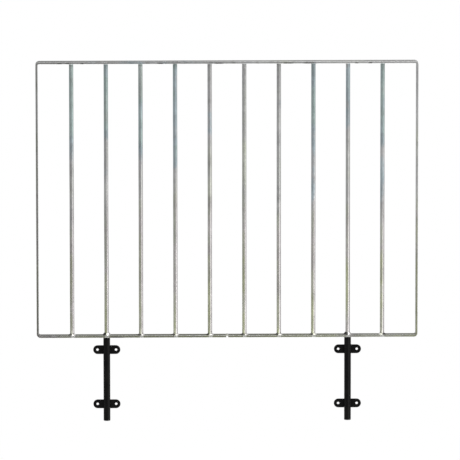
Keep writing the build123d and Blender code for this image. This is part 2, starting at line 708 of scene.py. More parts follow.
@dataclass(frozen=True)
class PaintSkin(Effect):
    """Orange peel and unevenness of sprayed paint."""

    name: ClassVar[str] = "paint_skin"
    takes: ClassVar[Sockets] = (("Position", Kind.VECTOR),)
    gives: ClassVar[Sockets] = (("Height", Kind.NUMBER), ("Variation", Kind.NUMBER))
    peel: Grain = Grain(520.0, 1.0, 0.4)
    flow: Grain = Grain(90.0)
    flow_height: float = 1.4
    variation: Grain = Grain(35.0, 3.0, 0.6)

    def wire(self, w: Wiring, given: bpy.types.Node, out: bpy.types.Node) -> None:
        """Lays the fine peel over the broader flow of the paint.

        Args:
            w: the group's wiring.
            given: its input node.
            out: its output node.
        """
        place = given.outputs["Position"]
        peel = w.grain(place, self.peel)
        height = w.maths("MULTIPLY_ADD", w.grain(place, self.flow), self.flow_height, peel)
        w.feed(out.inputs["Height"], height)
        w.feed(out.inputs["Variation"], w.grain(place, self.variation))


@dataclass(frozen=True)
class SettledDust(Effect):
    """Light dust that settles on what faces up."""

    name: ClassVar[str] = "settled_dust"
    takes: ClassVar[Sockets] = (("Position", Kind.VECTOR), ("Facing", Kind.VECTOR))
    gives: ClassVar[Sockets] = (("Mask", Kind.NUMBER),)
    up_from: float = 0.35
    up_to: float = 0.95
    specks: Grain = Grain(240.0, 4.0, 0.65)
    specks_from: float = 0.35
    specks_to: float = 0.75

    def wire(self, w: Wiring, given: bpy.types.Node, out: bpy.types.Node) -> None:
        """Keeps specks only on upward faces.

        Args:
            w: the group's wiring.
            given: its input node.
            out: its output node.
        """
        _, _, rise = w.axes(given.outputs["Facing"])
        specks = w.remap(w.grain(given.outputs["Position"], self.specks), self.specks_from, self.specks_to)
        w.feed(out.inputs["Mask"], w.times(w.remap(rise, self.up_from, self.up_to), specks))


class EffectShelf:
    """Builds each shared effect once and hands it out to the finishes."""

    def __init__(self) -> None:
        """Starts with no groups."""
        self._groups: dict[str, bpy.types.NodeTree] = {}

    def place(self, wiring: Wiring, effect: Effect, **inputs: object) -> bpy.types.Node:
        """Puts an effect into a material.

        Args:
            wiring: the material's wiring.
            effect: which effect.
            **inputs: a socket or value for each named input.

        Returns:
            The group node.
        """
        if effect.name not in self._groups:
            self._groups[effect.name] = effect.build()
        node = wiring.add("Group", node_tree=self._groups[effect.name])
        for name, value in inputs.items():
            wiring.feed(node.inputs[name], value)
        return node


# --------------------------------------------------------------------------------------------
# Finishes
# --------------------------------------------------------------------------------------------


class Finish:
    """A material that is built once and worn by every piece of its kind."""

    name: str
    slot: Slot

    def wire(self, w: Wiring, shader: bpy.types.Node, shelf: EffectShelf) -> None:
        """Joins the finish's nodes to the shader. Each kind of finish has its own."""
        raise NotImplementedError

    def make(self, shelf: EffectShelf) -> bpy.types.Material:
        """Builds the material.

        Args:
            shelf: the shared effects.

        Returns:
            The material.
        """
        material = bpy.data.materials.new(self.name)
        material.use_nodes = True
        shader = material.node_tree.nodes["Principled BSDF"]
        self.wire(Wiring(material.node_tree), shader, shelf)
        return material


@dataclass(frozen=True)
class ZincPlate(Finish):
    """Bright zinc plate on round bar, with its passivate film, painted light and shade across and up the
    piece, and a painted highlight tint on sides that face right.
    """

    name: str = "bright_zinc_plate"
    slot: Slot = Slot.PLATE
    base: Colour = (0.605, 0.61, 0.605)
    film: float = 1.0
    film_span: float = 0.62
    patches: float = 0.6
    low_z: float = 0.1
    high_z: float = 0.9
    # Painted highlight tint: low on the piece, sides that face right turn pale pink in place of the film's
    # colour.
    painted_highlight_tint: Colour = (0.99, 0.935, 0.955)
    painted_highlight_turn: float = 0.4
    painted_highlight_below: float = 0.42
    painted_highlight_full: float = 0.22
    cloud: Grain = Grain(14.0, 3.0, 0.6)
    cloud_shades: Stops = ((0.25, (0.80, 0.80, 0.80)), (0.75, (1.08, 1.08, 1.08)))
    half_width: float = 0.53
    # Painted light and shade: the plate is multiplied darker to the left and low down, and lighter to the
    # right and high up.
    left_painted_light: float = 0.96
    right_painted_light: float = 1.04
    low_painted_light: float = 1.0
    high_painted_light: float = 1.14
    stain: float = 0.3
    stain_colour: Colour = (0.2, 0.2, 0.19)
    pits: float = 0.35
    pit_colour: Colour = (0.3, 0.3, 0.29)
    wear: float = 0.75
    shine: float = 0.5
    rubbed_and_highlight_colour: Colour = (0.82, 0.82, 0.81)
    # Weld soot and heat marks, and painted shadow and shade beside the bars' feet, all darken towards this
    # colour through the soot layer.
    soot_and_shade_colour: Colour = (0.022, 0.02, 0.017)
    soot_and_shade_breaks: Grain = Grain(300.0, 3.0, 0.6)
    soot_and_shade_breaks_from: float = 0.25
    soot_and_shade_breaks_to: float = 0.55
    soot_and_shade_least: float = 0.6
    soot_and_shade_roughness: float = 0.45
    soot_and_shade_dulling: float = 0.6
    roughness: float = 0.30
    roughness_swing: float = 0.16
    cloud_roughness: float = 0.10
    bump: float = 0.35
    bump_depth: float = 0.04 * MM

    def wire(self, w: Wiring, shader: bpy.types.Node, shelf: EffectShelf) -> None:
        """Joins film, drawn marks, edge wear, weld soot and painted shade to the metal.

        Args:
            w: the material's wiring.
            shader: its Principled BSDF.
            shelf: the shared effects.
        """
        place = w.here()
        cloud = w.grain(place, self.cloud)
        marks = shelf.place(w, DrawnMarks(), Position=place)
        rubbed = shelf.place(w, EdgeWear(), Position=place, Edge=w.layer(WEAR_AND_HIGHLIGHT_LAYER), Amount=self.wear)
        breaks = w.remap(w.grain(place, self.soot_and_shade_breaks), self.soot_and_shade_breaks_from, self.soot_and_shade_breaks_to,
                         self.soot_and_shade_least, 1.0)
        soot_and_shade = w.times(w.layer(SOOT_AND_SHADE_LAYER), breaks)
        metal = self.clean_metal(w, shelf, place, cloud)
        metal = w.blend(w.times(marks.outputs["Pits"], self.pits), metal, self.pit_colour)
        # On the hoop the rubbed mask also carries a painted highlight below each bar's foot.
        metal = w.blend(w.times(rubbed.outputs["Mask"], self.shine), metal, self.rubbed_and_highlight_colour)
        # Weld soot and painted shade darken the metal.
        w.feed(shader.inputs["Base Color"], w.blend(soot_and_shade, metal, self.soot_and_shade_colour))
        smooth = self.roughness - self.roughness_swing / 2
        rough = w.maths("MULTIPLY_ADD", marks.outputs["Lines"], self.roughness_swing, smooth)
        rough = w.maths("SUBTRACT", rough, self.cloud_roughness / 2)
        rough = w.maths("MULTIPLY_ADD", cloud, self.cloud_roughness, rough)
        rough = w.maths("MULTIPLY_ADD", soot_and_shade, self.soot_and_shade_roughness, rough, clamp=True)
        w.feed(shader.inputs["Roughness"], rough)
        w.feed(shader.inputs["Metallic"], w.maths("MULTIPLY_ADD", soot_and_shade, -self.soot_and_shade_dulling, 1.0, clamp=True))
        w.feed(shader.inputs["Normal"], w.relief(marks.outputs["Height"], self.bump, self.bump_depth))

    def clean_metal(self, w: Wiring, shelf: EffectShelf, place: bpy.types.NodeSocket,
                    cloud: bpy.types.NodeSocket) -> bpy.types.NodeSocket:
        """Colour of the plate under its film, clouds and stains, with its painted light and shade and
        painted highlight tint, before wear and soot.

        Args:
            w: the material's wiring.
            shelf: the shared effects.
            place: position on the piece.
            cloud: broad noise over the piece.

        Returns:
            The colour output.
        """
        x, _, z = w.axes(place)
        height = w.remap(z, self.low_z, self.high_z, 0.0, self.film_span)
        film = shelf.place(w, PassivateFilm(), Position=place, Height=height, Shift=w.layer(BATCH_LAYER),
                           Patches=self.patches)
        # Painted highlight tint on the sides that face right, low down.
        to_right, _, _ = w.axes(w.facing())
        low_down = w.remap(height, self.painted_highlight_below, self.painted_highlight_full)
        painted_highlight = w.times(w.remap(to_right, 0.0, self.painted_highlight_turn), low_down)
        tint = w.blend(painted_highlight, film.outputs["Colour"], self.painted_highlight_tint)
        metal = w.blend(self.film, self.base, tint, "MULTIPLY")
        # Random clouds, then painted light and shade across and up the piece.
        cloud_and_painted_light = (
            w.ramp(cloud, self.cloud_shades),
            w.remap(x, -self.half_width, self.half_width, self.left_painted_light, self.right_painted_light),
            w.remap(z, self.low_z, self.high_z, self.low_painted_light, self.high_painted_light),
        )
        for tone in cloud_and_painted_light:
            metal = w.blend(1.0, metal, tone, "MULTIPLY")
        return w.blend(w.times(film.outputs["Stain"], self.stain), metal, self.stain_colour)


@dataclass(frozen=True)
class FlatBarPlate(ZincPlate):
    """The same plate on flat bar: blotchier, with stronger painted shade low down and on the left and
    painted light at the top.
    """

    name: str = "zinc_plate_on_flat"
    film_span: float = 0.45
    patches: float = 0.4
    stain: float = 0.5
    # Stronger painted shade low down and on the left, and painted light at the top.
    left_painted_light: float = 0.62
    right_painted_light: float = 1.06
    low_painted_light: float = 0.60
    high_painted_light: float = 1.27
    shine: float = 0.7


@dataclass(frozen=True)
class WeldMetal(ZincPlate):
    """Rippled weld under the same plate: brighter, smoother and with a patchier film."""

    name: str = "plated_weld"
    slot: Slot = Slot.WELD
    base: Colour = (0.80, 0.80, 0.795)
    film: float = 0.5
    patches: float = 1.2
    stain: float = 0.12
    roughness: float = 0.32
    roughness_swing: float = 0.14
    bump: float = 0.4


@dataclass(frozen=True)
class BlackPaint(Finish):
    """Satin black paint, a little thin on the edges and lightly dusted."""

    name: str = "satin_black_paint"
    slot: Slot = Slot.PAINT
    base: Colour = (0.0015, 0.0015, 0.0016)
    faded: Colour = (0.0045, 0.0043, 0.004)
    fade_from: float = 0.35
    fade_to: float = 0.7
    thin: Colour = (0.03, 0.029, 0.027)
    thinness: float = 0.45
    dust: Colour = (0.10, 0.097, 0.09)
    dustiness: float = 0.10
    dust_roughness: float = 0.2
    roughness: float = 0.31
    roughness_swing: float = 0.16
    specular: float = 0.10
    wear: float = 0.7
    bump: float = 0.55
    bump_depth: float = 0.06 * MM

    def wire(self, w: Wiring, shader: bpy.types.Node, shelf: EffectShelf) -> None:
        """Joins paint skin, edge wear and dust to the paint.

        Args:
            w: the material's wiring.
            shader: its Principled BSDF.
            shelf: the shared effects.
        """
        place = w.here()
        skin = shelf.place(w, PaintSkin(), Position=place)
        rubbed = shelf.place(w, EdgeWear(), Position=place, Edge=w.layer(WEAR_AND_HIGHLIGHT_LAYER), Amount=self.wear)
        dusted = shelf.place(w, SettledDust(), Position=place, Facing=w.facing())
        fade = w.remap(skin.outputs["Variation"], self.fade_from, self.fade_to)
        paint = w.blend(fade, self.base, self.faded)
        paint = w.blend(w.times(rubbed.outputs["Mask"], self.thinness), paint, self.thin)
        paint = w.blend(w.times(dusted.outputs["Mask"], self.dustiness), paint, self.dust)
        w.feed(shader.inputs["Base Color"], paint)
        smooth = self.roughness - self.roughness_swing / 2
        rough = w.maths("MULTIPLY_ADD", skin.outputs["Variation"], self.roughness_swing, smooth)
        rough = w.maths("MULTIPLY_ADD", dusted.outputs["Mask"], self.dust_roughness, rough)
        w.feed(shader.inputs["Roughness"], rough)
        w.feed(shader.inputs["Specular IOR Level"], self.specular)
        w.feed(shader.inputs["Normal"], w.relief(skin.outputs["Height"], self.bump, self.bump_depth))


@dataclass(frozen=True)
class PaintedWeld(BlackPaint):
    """The same paint where it lies over weld beads."""

    name: str = "black_paint_on_weld"
    slot: Slot = Slot.PAINTED_WELD
    roughness: float = 0.36


@dataclass(frozen=True)
class PaleFloor(Finish):
    """Pale studio floor that lightens to plain white towards its rim."""

    name: str = "pale_floor"
    tone: Colour = (0.86, 0.86, 0.855)
    cloud: Grain = Grain(2.0, 3.0)
    cloud_tone: Colour = (0.8, 0.8, 0.79)
    cloudiness: float = 0.1
    fade_from: float = 1.6
    fade_to: float = 4.2
    roughness: float = 0.7

    def wire(self, w: Wiring, shader: bpy.types.Node, shelf: EffectShelf) -> None:
        """Joins a faint cloudiness and the white rim to the floor.

        Args:
            w: the material's wiring.
            shader: its Principled BSDF.
            shelf: the shared effects, which the floor doesn't use.
        """
        place = w.here()
        reach = w.add("VectorMath", operation="LENGTH")
        w.feed(reach.inputs[0], place)
        rim = w.remap(reach.outputs["Value"], self.fade_from, self.fade_to)
        tone = w.blend(w.times(w.grain(place, self.cloud), self.cloudiness), self.tone, self.cloud_tone)
        w.feed(shader.inputs["Base Color"], w.blend(rim, tone, BLACK))
        w.feed(shader.inputs["Emission Color"], w.blend(rim, BLACK, WHITE))
        w.feed(shader.inputs["Emission Strength"], 1.0)
        w.feed(shader.inputs["Roughness"], self.roughness)
        w.feed(shader.inputs["Specular IOR Level"], 0.0)


class Wardrobe:
    """Makes each finish once and dresses pieces in it."""

    def __init__(self) -> None:
        """Starts with the shared effects and no materials."""
        self.shelf = EffectShelf()
        self._made: dict[str, bpy.types.Material] = {}

    def material(self, finish: Finish) -> bpy.types.Material:
        """The finish's material, built on first use.

        Args:
            finish: the finish.

        Returns:
            Its material.
        """
        if finish.name not in self._made:
            self._made[finish.name] = finish.make(self.shelf)
        return self._made[finish.name]

    def dress(self, piece: bpy.types.Object, finish: Finish, body: str, nodes: Sequence[str]) -> None:
        """Finishes a piece and ties it to the frame.

        Args:
            piece: the piece.
            finish: what it wears.
            body: the CAD body it moves with.
            nodes: the CAD nodes it stands for.
        """
        piece.data.materials.clear()
        piece.data.materials.append(self.material(finish))
        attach(piece, body)
        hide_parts(*nodes)
        LOG.info("%s: %d points, rides on %s", piece.name, len(piece.data.vertices), body)


# --------------------------------------------------------------------------------------------
# Grille
# --------------------------------------------------------------------------------------------


@dataclass(frozen=True)
class HeatMark:
    """Old heat mark on the front edge of a rail, darker towards the rail's lower side."""

    start: float
    end: float
    on_top: bool = True


@dataclass
class HoopOfFlatBar:
    """Flat bar on edge, bent round four corners and butted in the middle of the bottom rail."""

    thickness: float = 6.0 * MM
    inner_bend: float = 4.5 * MM
    butt_gap: float = 6.0 * MM
    edge_radius: float = 0.7 * MM
    edge_steps: int = 4
    edge_support: float = 1.3 * MM
    bend_steps: int = 14
    station_step: float = 24.0 * MM
    fine_step: float = 1.6 * MM
    end_clearance: float = 2.0 * MM
    face_points: int = 13
    hole_clearance: float = 0.5 * MM
    hole_bevel: float = 0.4 * MM
    hole_overrun: float = 2.0 * MM
    hole_around: int = 64
    batch: float = 0.05
    # Side of each bar, in degrees, on which its painted shadow lies across the rail.
    shadow_side_deg: Sequence[float] = ()
    shadow_inner: float = 11.0 * MM
    shadow_reach: float = 17.0 * MM
    shadow_least: float = 0.05
    shadow_softness: float = 0.7
    shadow_inside_from: float = 0.6
    shadow_patches: Ragged = Ragged(0.95, 0.35, 260.0)
    marks: Sequence[HeatMark] = (
        HeatMark(-0.330, -0.288, False), HeatMark(-0.474, -0.458), HeatMark(-0.450, -0.438),
        HeatMark(-0.410, -0.398), HeatMark(-0.197, -0.177), HeatMark(-0.037, -0.008),
        HeatMark(0.155, 0.187), HeatMark(0.209, 0.253), HeatMark(0.356, 0.368), HeatMark(0.393, 0.406),
    )
    mark_step: float = 2.5 * MM
    mark_depth_gain: float = 1.8
    mark_patches: Ragged = Ragged(1.1, 0.6, 240.0)
    # Painted highlight on the front edge below each bar's foot, carried in the wear layer.
    foot_highlight_reach: float = 8.0 * MM
    foot_highlight_gain: float = 2.5

    def section(self, depth: float) -> list[Station]:
        """Outline of the flat bar.

        Args:
            depth: front-to-back size of the bar.

        Returns:
            (inward offset, Y from the middle, wear) round the outline.
        """
        half = depth / 2
        corners = ((0.0, -half, 1, 1), (self.thickness, -half, -1, 1),
                   (self.thickness, half, -1, -1), (0.0, half, 1, -1))
        outline: list[Station] = []
        for number, (inward, y, across, along) in enumerate(corners):
            arc = [
                (inward + across * self.edge_radius * (1 - math.sin(turn)),
                 y + along * self.edge_radius * (1 - math.cos(turn)), 1.0)
                for turn in quarter_turns(self.edge_steps)
            ]
            support_in = (inward + across * self.edge_support, y, 0.0)
            support_out = (inward, y + along * self.edge_support, 0.0)
            stretch = [support_out, *reversed(arc), support_in]
            # Every other corner is walked the other way, so that the outline runs on.
            outline.extend(stretch if number % 2 == 0 else reversed(stretch))
            # The inner face has points across it, because the painted shadow of the bars lies on it.
            if number == 1:
                edge = half - self.edge_support
                outline.extend(
                    (self.thickness, -edge + 2 * edge * (i + 1) / (self.face_points + 1), 0.0)
                    for i in range(self.face_points)
                )
        return outline

    def stops(self, begin: Vector, finish: Vector, bars: Sequence[Vector]) -> list[float]:
        """Distances along a straight where it gets a station, closer together at bars and heat marks.

        Args:
            begin: start of the straight.
            finish: its end.
            bars: where the bars stand.

        Returns:
            The distances in order, without the two ends.
        """
        length = (finish - begin).length
        along = (finish - begin) / length
        wanted = evenly(0.0, length, self.station_step)
        is_rail = abs(along.x) > abs(along.z)
        if is_rail:
            steps = round(self.shadow_reach / self.fine_step) + 1
            for bar in bars:
                middle = (bar.x - begin.x) * along.x
                wanted.extend(middle + self.fine_step * i for i in range(-steps, steps + 1))
            for mark in self.marks:
                edges = sorted(((mark.start - begin.x) * along.x, (mark.end - begin.x) * along.x))
                wanted.extend((*edges, *evenly(*edges, self.mark_step)))
        kept: list[float] = []
        for place in sorted(wanted):
            inside = self.end_clearance < place < length - self.end_clearance
            if inside and (not kept or place - kept[-1] > self.fine_step / 2):
                kept.append(place)
        return kept

    def painted_shadow(self, point: Vector, bars: Sequence[Vector]) -> float:
        """How much painted shadow of the bars lies on the rail at a point, on each bar's given side.

        Args:
            point: the point on the rail.
            bars: where the bars stand.

        Returns:
            A soot value, 0 to 1.
        """
        deepest = 0.0
        for bar, from_deg in zip(bars, self.shadow_side_deg):
            offset = Vector((point.x - bar.x, point.y - bar.y))
            if offset.length > self.shadow_reach:
                continue
            near = 1 - max(0.0, offset.length - self.shadow_inner) / (self.shadow_reach - self.shadow_inner)
            heading = math.radians(from_deg)
            facing = offset.normalized().dot(Vector((math.cos(heading), math.sin(heading))))
            towards = max(0.0, facing - self.shadow_least) ** self.shadow_softness
            side = self.shadow_least + (1 - self.shadow_least) * towards
            deepest = max(deepest, near * side * self.shadow_patches.at(point))
        return min(1.0, deepest)

    def heat_mark(self, point: Vector, inward: float, span: Span) -> float:
        """How dark an old heat mark makes a point on the front edge of a rail.

        Args:
            point: the point on the rail.
            inward: how far in from the outer face it lies.
            span: the hoop's place.

        Returns:
            A soot value, 0 to 1.
        """
        darkest = 0.0
        if point.y > span.low.y + self.edge_support:
            return darkest
        on_top = point.z > span.middle.z
        down = inward / self.thickness if on_top else 1 - inward / self.thickness
        for mark in self.marks:
            along = (point.x - mark.start) / (mark.end - mark.start)
            if mark.on_top == on_top and 0.0 < along < 1.0:
                strength = math.sin(math.pi * along) ** 0.5 * self.mark_patches.at(point)
                darkest = max(darkest, strength * min(1.0, down * self.mark_depth_gain))
        return min(1.0, darkest)

    def painted_foot_highlight(self, point: Vector, span: Span, bars: Sequence[Vector]) -> float:
        """Painted highlight on the front edge of the bottom rail, just right of a bar's foot, given as wear.

        Args:
            point: the point on the rail.
            span: the hoop's place.
            bars: where the bars stand.

        Returns:
            A wear value, 0 to 1.
        """
        if point.z > span.middle.z or point.y > span.low.y + self.edge_support:
            return 0.0
        nearest = min(abs(point.x - bar.x - self.edge_support) for bar in bars)
        return min(1.0, self.foot_highlight_gain * max(0.0, 1 - nearest / self.foot_highlight_reach))

    def route(self, span: Span, bars: Sequence[Vector]) -> list[tuple[Vector, Vector]]:
        """Stations along the outer face, from one side of the butt joint round to the other.

        Args:
            span: the hoop's place.
            bars: where the bars stand.

        Returns:
            (point on the outer face, outward direction) for each station.
        """
        outer = self.inner_bend + self.thickness
        y = span.middle.y
        left, right = span.low.x, span.high.x
        low, high = span.low.z, span.high.z
        butt_left = Vector((span.middle.x - self.butt_gap / 2, y, low))
        butt_right = Vector((span.middle.x + self.butt_gap / 2, y, low))
        corners = ((right - outer, low + outer, -90), (right - outer, high - outer, 0),
                   (left + outer, high - outer, 90), (left + outer, low + outer, 180))
        stations: list[tuple[Vector, Vector]] = [(butt_right, -Z_AXIS)]
        for x, z, start_deg in corners:
            angle = math.radians(start_deg)
            outward = Vector((math.cos(angle), 0, math.sin(angle)))
            centre = Vector((x, y, z))
            begin, finish = stations[-1][0], centre + outward * outer
            length = (finish - begin).length
            for place in self.stops(begin, finish, bars):
                stations.append((begin.lerp(finish, place / length), outward))
            for turn in quarter_turns(self.bend_steps):
                direction = Vector((math.cos(angle + turn), 0, math.sin(angle + turn)))
                stations.append((centre + direction * outer, direction))
        begin = stations[-1][0]
        length = (butt_left - begin).length
        for place in self.stops(begin, butt_left, bars):
            stations.append((begin.lerp(butt_left, place / length), -Z_AXIS))
        stations.append((butt_left, -Z_AXIS))
        return stations

    def hole_cutter(self, centre: Vector, radius: float) -> bpy.types.Object:
        """Cutter for a leg hole with lightly broken rims.

        Args:
            centre: middle of the hole.
            radius: the leg's radius.

        Returns:
            A closed solid.
        """
        bore = radius + self.hole_clearance
        half = self.thickness / 2
        over = self.hole_overrun
        profile = ((-half - over, bore + self.hole_bevel + over), (-half + self.hole_bevel, bore),
                   (half - self.hole_bevel, bore), (half + over, bore + self.hole_bevel + over))
        draft = Draft()
        draft.rod([draft.loop(circle(centre + Z_AXIS * dz, r, self.hole_around)) for dz, r in profile])
        return draft.build("leg_hole_cutter")

    def make(self, wardrobe: Wardrobe, finish: Finish, bars: Sequence[Vector]) -> bpy.types.Object:
        """Builds and dresses the hoop.

        Args:
            wardrobe: where its finish comes from.
            finish: what it wears.
            bars: where the bars stand.

        Returns:
            The hoop.
        """
        span = Span.of(HOOP_NODE)
        outline = self.section(span.size.y)
        draft = Draft()
        loops: list[list[int]] = []
        for place, outward in self.route(span, bars):
            loop = draft.loop(place - outward * inward + Y_AXIS * y for inward, y, _ in outline)
            for index, (inward, _, wear) in zip(loop, outline):
                depth = max(0.0, inward / self.thickness - self.shadow_inside_from)
                inner = depth / (1 - self.shadow_inside_from)
                point = draft.points[index]
                # The wear here also carries the painted highlight below each bar's foot.
                draft.wear[index] = max(wear, self.painted_foot_highlight(point, span, bars))
                # The soot value here is the painted shadow of the bars, with the heat marks.
                draft.soot_and_shade[index] = max(inner * self.painted_shadow(point, bars), self.heat_mark(point, inward, span))
            loops.append(loop)
        draft.rod(loops)
        hoop = draft.build("hoop_of_flat_bar", FLAT_CREASE_DEG, self.batch)
        cutters: list[bpy.types.Object] = []
        for hand in Hand:
            leg = Span.of(f"{hand.value}_leg_bar")
            centre = Vector((leg.middle.x, leg.middle.y, span.low.z + self.thickness / 2))
            cutters.append(self.hole_cutter(centre, leg.size.x / 2))
        drill(hoop, cutters)
        keep_flats_flat(hoop)
        wardrobe.dress(hoop, finish, GRILLE_BODY, [HOOP_NODE])
        return hoop


@dataclass
class RoundUpright:
    """One round bar, very slightly out of straight as cut lengths are."""

    node: str
    seed: int
    end_radius: float = 0.5 * MM
    end_steps: int = 3
    around: int = 48
    station_step: float = 20.0 * MM
    wander: float = 0.18 * MM
    wander_waves: float = 7.0
    wander_spread: float = 3.7
    tip_bevel: float = 0.0
    tip_round: float = 0.2 * MM
    tip_land: float = 0.1 * MM
    tip_slope: float = 0.9
    tip_wear_reach: float = 4.0 * MM
    batch: float = 0.0
    heat: float = 0.4
    heat_reach: float = 15.0 * MM
    heat_steps: int = 6
    heat_patches: Ragged = Ragged(1.0, 0.8, 180.0)

    def bevelled_tip(self, low: float) -> list[Station]:
        """Stations of a rubbed bevel at the lower end, from the tip upwards.

        Args:
            low: the bar's lower end.

        Returns:
            (Z, inset from the full radius, wear) for each station.
        """
        bevel = self.tip_bevel
        return [
            (low, bevel + self.tip_round, 0.6),
            (low + self.tip_land, bevel, 1.0),
            (low + bevel * self.tip_slope, self.tip_land, 1.0),
            (low + bevel + self.tip_round, 0.0, 0.8),
            (low + bevel + self.tip_wear_reach, 0.0, 0.3),
        ]

    def stations(self, low: float, high: float) -> list[Station]:
        """Places along the bar.

        Args:
            low: its lower end.
            high: its upper end.

        Returns:
            (Z, inset from the full radius, wear) from the lower end to the upper.
        """
        ends = rounded_ends(low, high, self.end_radius, self.end_steps)
        half = len(ends) // 2
        start = self.bevelled_tip(low) if self.tip_bevel else ends[:half]
        finish = ends[half:]
        cool = high - self.heat_reach
        run = evenly(start[-1][0], cool, self.station_step)
        run += [cool, *evenly(cool, finish[0][0], self.heat_reach / self.heat_steps)]
        return start + [(z, 0.0, 0.0) for z in run] + finish

    def sway(self, z: float, low: float, high: float) -> Vector:
        """How far the bar strays from its true line at a height.

        Args:
            z: the height.
            low: the bar's lower end.
            high: its upper end.

        Returns:
            The sideways offset, nothing at the two ends.
        """
        hold = math.sin(math.pi * (z - low) / (high - low))
        x, y = (
            noise.noise(Vector((z * self.wander_waves, self.seed * self.wander_spread, apart)))
            for apart in (0.0, 9.0)
        )
        return Vector((x, y, 0.0)) * (self.wander * 2 * hold)

    def make(self, wardrobe: Wardrobe, finish: Finish) -> bpy.types.Object:
        """Builds and dresses the bar.

        Args:
            wardrobe: where its finish comes from.
            finish: what it wears.

        Returns:
            The bar.
        """
        span = Span.of(self.node)
        radius = span.size.x / 2
        draft = Draft()
        loops: list[list[int]] = []
        for z, inset, wear in self.stations(span.low.z, span.high.z):
            centre = Vector((span.middle.x, span.middle.y, z)) + self.sway(z, span.low.z, span.high.z)
            loop = draft.loop(circle(centre, radius - inset, self.around), wear=wear)
            warmth = max(0.0, 1 - (span.high.z - z) / self.heat_reach)
            for index in loop:
                draft.soot_and_shade[index] = self.heat * warmth * self.heat_patches.at(draft.points[index])
            loops.append(loop)
        draft.rod(loops)
        bar = draft.build(self.node + "_upright", batch=self.batch)
        wardrobe.dress(bar, finish, GRILLE_BODY, [self.node])
        return bar


@dataclass
class BarEndWelds:
    """Fillet welds round the ends of several bars on one rail face."""

    node: str
    name: str
    places: Sequence[Vector]
    bar_radius: float
    spread: float
    climb: float
    seed: int
    around: int = 144
    face_steps: int = 12
    fullness: float = 0.58
    spread_swing: float = 0.10
    spread_waves: float = 1.3
    climb_swing: float = 0.12
    climb_waves: float = 1.7
    ripples: int = 24
    ripple_height: float = 0.2 * MM
    ripple_lag: float = 2.2
    ripple_wander: float = 1.5
    sink: float = 0.25 * MM
    start_lump: float = 0.10
    lump_width: float = 0.12
    # Darker towards the weld's toes, where it meets bar and rail.
    toe_darkening: float = 1.4
    toe_darkening_least: float = 0.4
    toe_darkening_most: float = 0.75
    # Painted shade on one side of each weld: where it starts, how fast it sets in, and each weld's side in
    # degrees.
    shadow_from: float = 0.06
    shadow_blend: float = 0.3
    shadow_sides_deg: Sequence[float] = ()

    def face(self, turn: float, start: float, phase: float) -> list[tuple[Vector, float]]:
        """Section of a weld at one place round its bar.

        Args:
            turn: direction from the bar's middle, in radians.
            start: direction where the weld was begun, a little fuller.
            phase: shifts the weld's unevenness.

        Returns:
            (distance from the bar's middle and height, darkness) up the face and back under it.
        """
        away = Vector((math.cos(turn), math.sin(turn), 0))
        uneven = noise.noise(away * self.spread_waves + Vector((0, 0, phase)))
        climbing = noise.noise(away * self.climb_waves + Vector((0, 3, phase)))
        spread = self.spread * (1 - self.spread_swing + self.spread_swing * uneven)
        climb = self.climb * (1 - self.climb_swing + self.climb_swing * climbing)
        past_start = (turn - start + math.pi) % FULL_TURN - math.pi
        full = self.fullness + self.start_lump * math.exp(-past_start ** 2 / self.lump_width)
        toe = Vector((self.bar_radius + spread, 0.0))
        top = Vector((self.bar_radius, climb))
        pull = Vector((self.bar_radius + spread * full, climb * full))
        outline: list[tuple[Vector, float]] = []
        for step in range(self.face_steps + 1):
            t = step / self.face_steps
            point = toe * (1 - t) ** 2 + pull * (2 * t * (1 - t)) + top * t ** 2
            crescent = turn * self.ripples + self.ripple_lag * (2 * t - 1) ** 2 + self.ripple_wander * uneven
            swell = self.ripple_height * abs(math.sin(crescent / 2)) * math.sin(math.pi * t) ** 0.5
            edge = min(t, 1 - t) * self.face_steps
            soot_and_shade = max(0.0, 1.0 - edge / self.toe_darkening)
            outline.append((point + Vector((climb, spread)).normalized() * swell, soot_and_shade))
        outline.append((Vector((self.bar_radius - self.sink, climb)), 1.0))
        outline.append((Vector((self.bar_radius - self.sink, -self.sink)), 0.0))
        outline.append((Vector((self.bar_radius + spread, -self.sink)), 1.0))
        return outline

    def ring(self, draft: Draft, place: Vector, rng: random.Random, shadow_side: Optional[float]) -> None:
        """Adds one weld, run round the bar in short overlapping puddles.

        Args:
            draft: where it goes.
            place: centre of the bar on the rail face.
            rng: source of its unevenness.
            shadow_side: direction in degrees of the side painted in shade, if any.
        """
        phase = rng.uniform(0, 50)
        start = rng.uniform(0, FULL_TURN)
        loops: list[list[int]] = []
        for i in range(self.around):
            turn = FULL_TURN * i / self.around
            away = Vector((math.cos(turn), math.sin(turn), 0))
            face = self.face(turn, start, phase)
            loop = draft.loop(place + away * p.x + Z_AXIS * p.y for p, _ in face)
            painted_shadow = 0.0
            # Painted shade: the side of the weld turned that way is darkened through the soot layer.
            if shadow_side is not None:
                facing = math.cos(turn - math.radians(shadow_side))
                painted_shadow = min(1.0, max(0.0, (facing - self.shadow_from) / self.shadow_blend))
            for index, (_, soot_and_shade) in zip(loop, face):
                left = soot_and_shade * rng.uniform(self.toe_darkening_least, self.toe_darkening_most)
                draft.soot_and_shade[index] = max(left, painted_shadow)
            loops.append(loop)
        draft.skin(loops, around=True)

    def make(self, wardrobe: Wardrobe, finish: Finish) -> bpy.types.Object:
        """Builds and dresses the row of welds.

        Args:
            wardrobe: where their finish comes from.
            finish: what they wear.

        Returns:
            One piece with all the welds.
        """
        rng = random.Random(self.seed)
        draft = Draft()
        for number, place in enumerate(self.places):
            shadow_side = self.shadow_sides_deg[number] if number < len(self.shadow_sides_deg) else None
            self.ring(draft, place, rng, shadow_side)
        welds = draft.build(self.name, WELD_CREASE_DEG)
        wardrobe.dress(welds, finish, GRILLE_BODY, [self.node])
        return welds


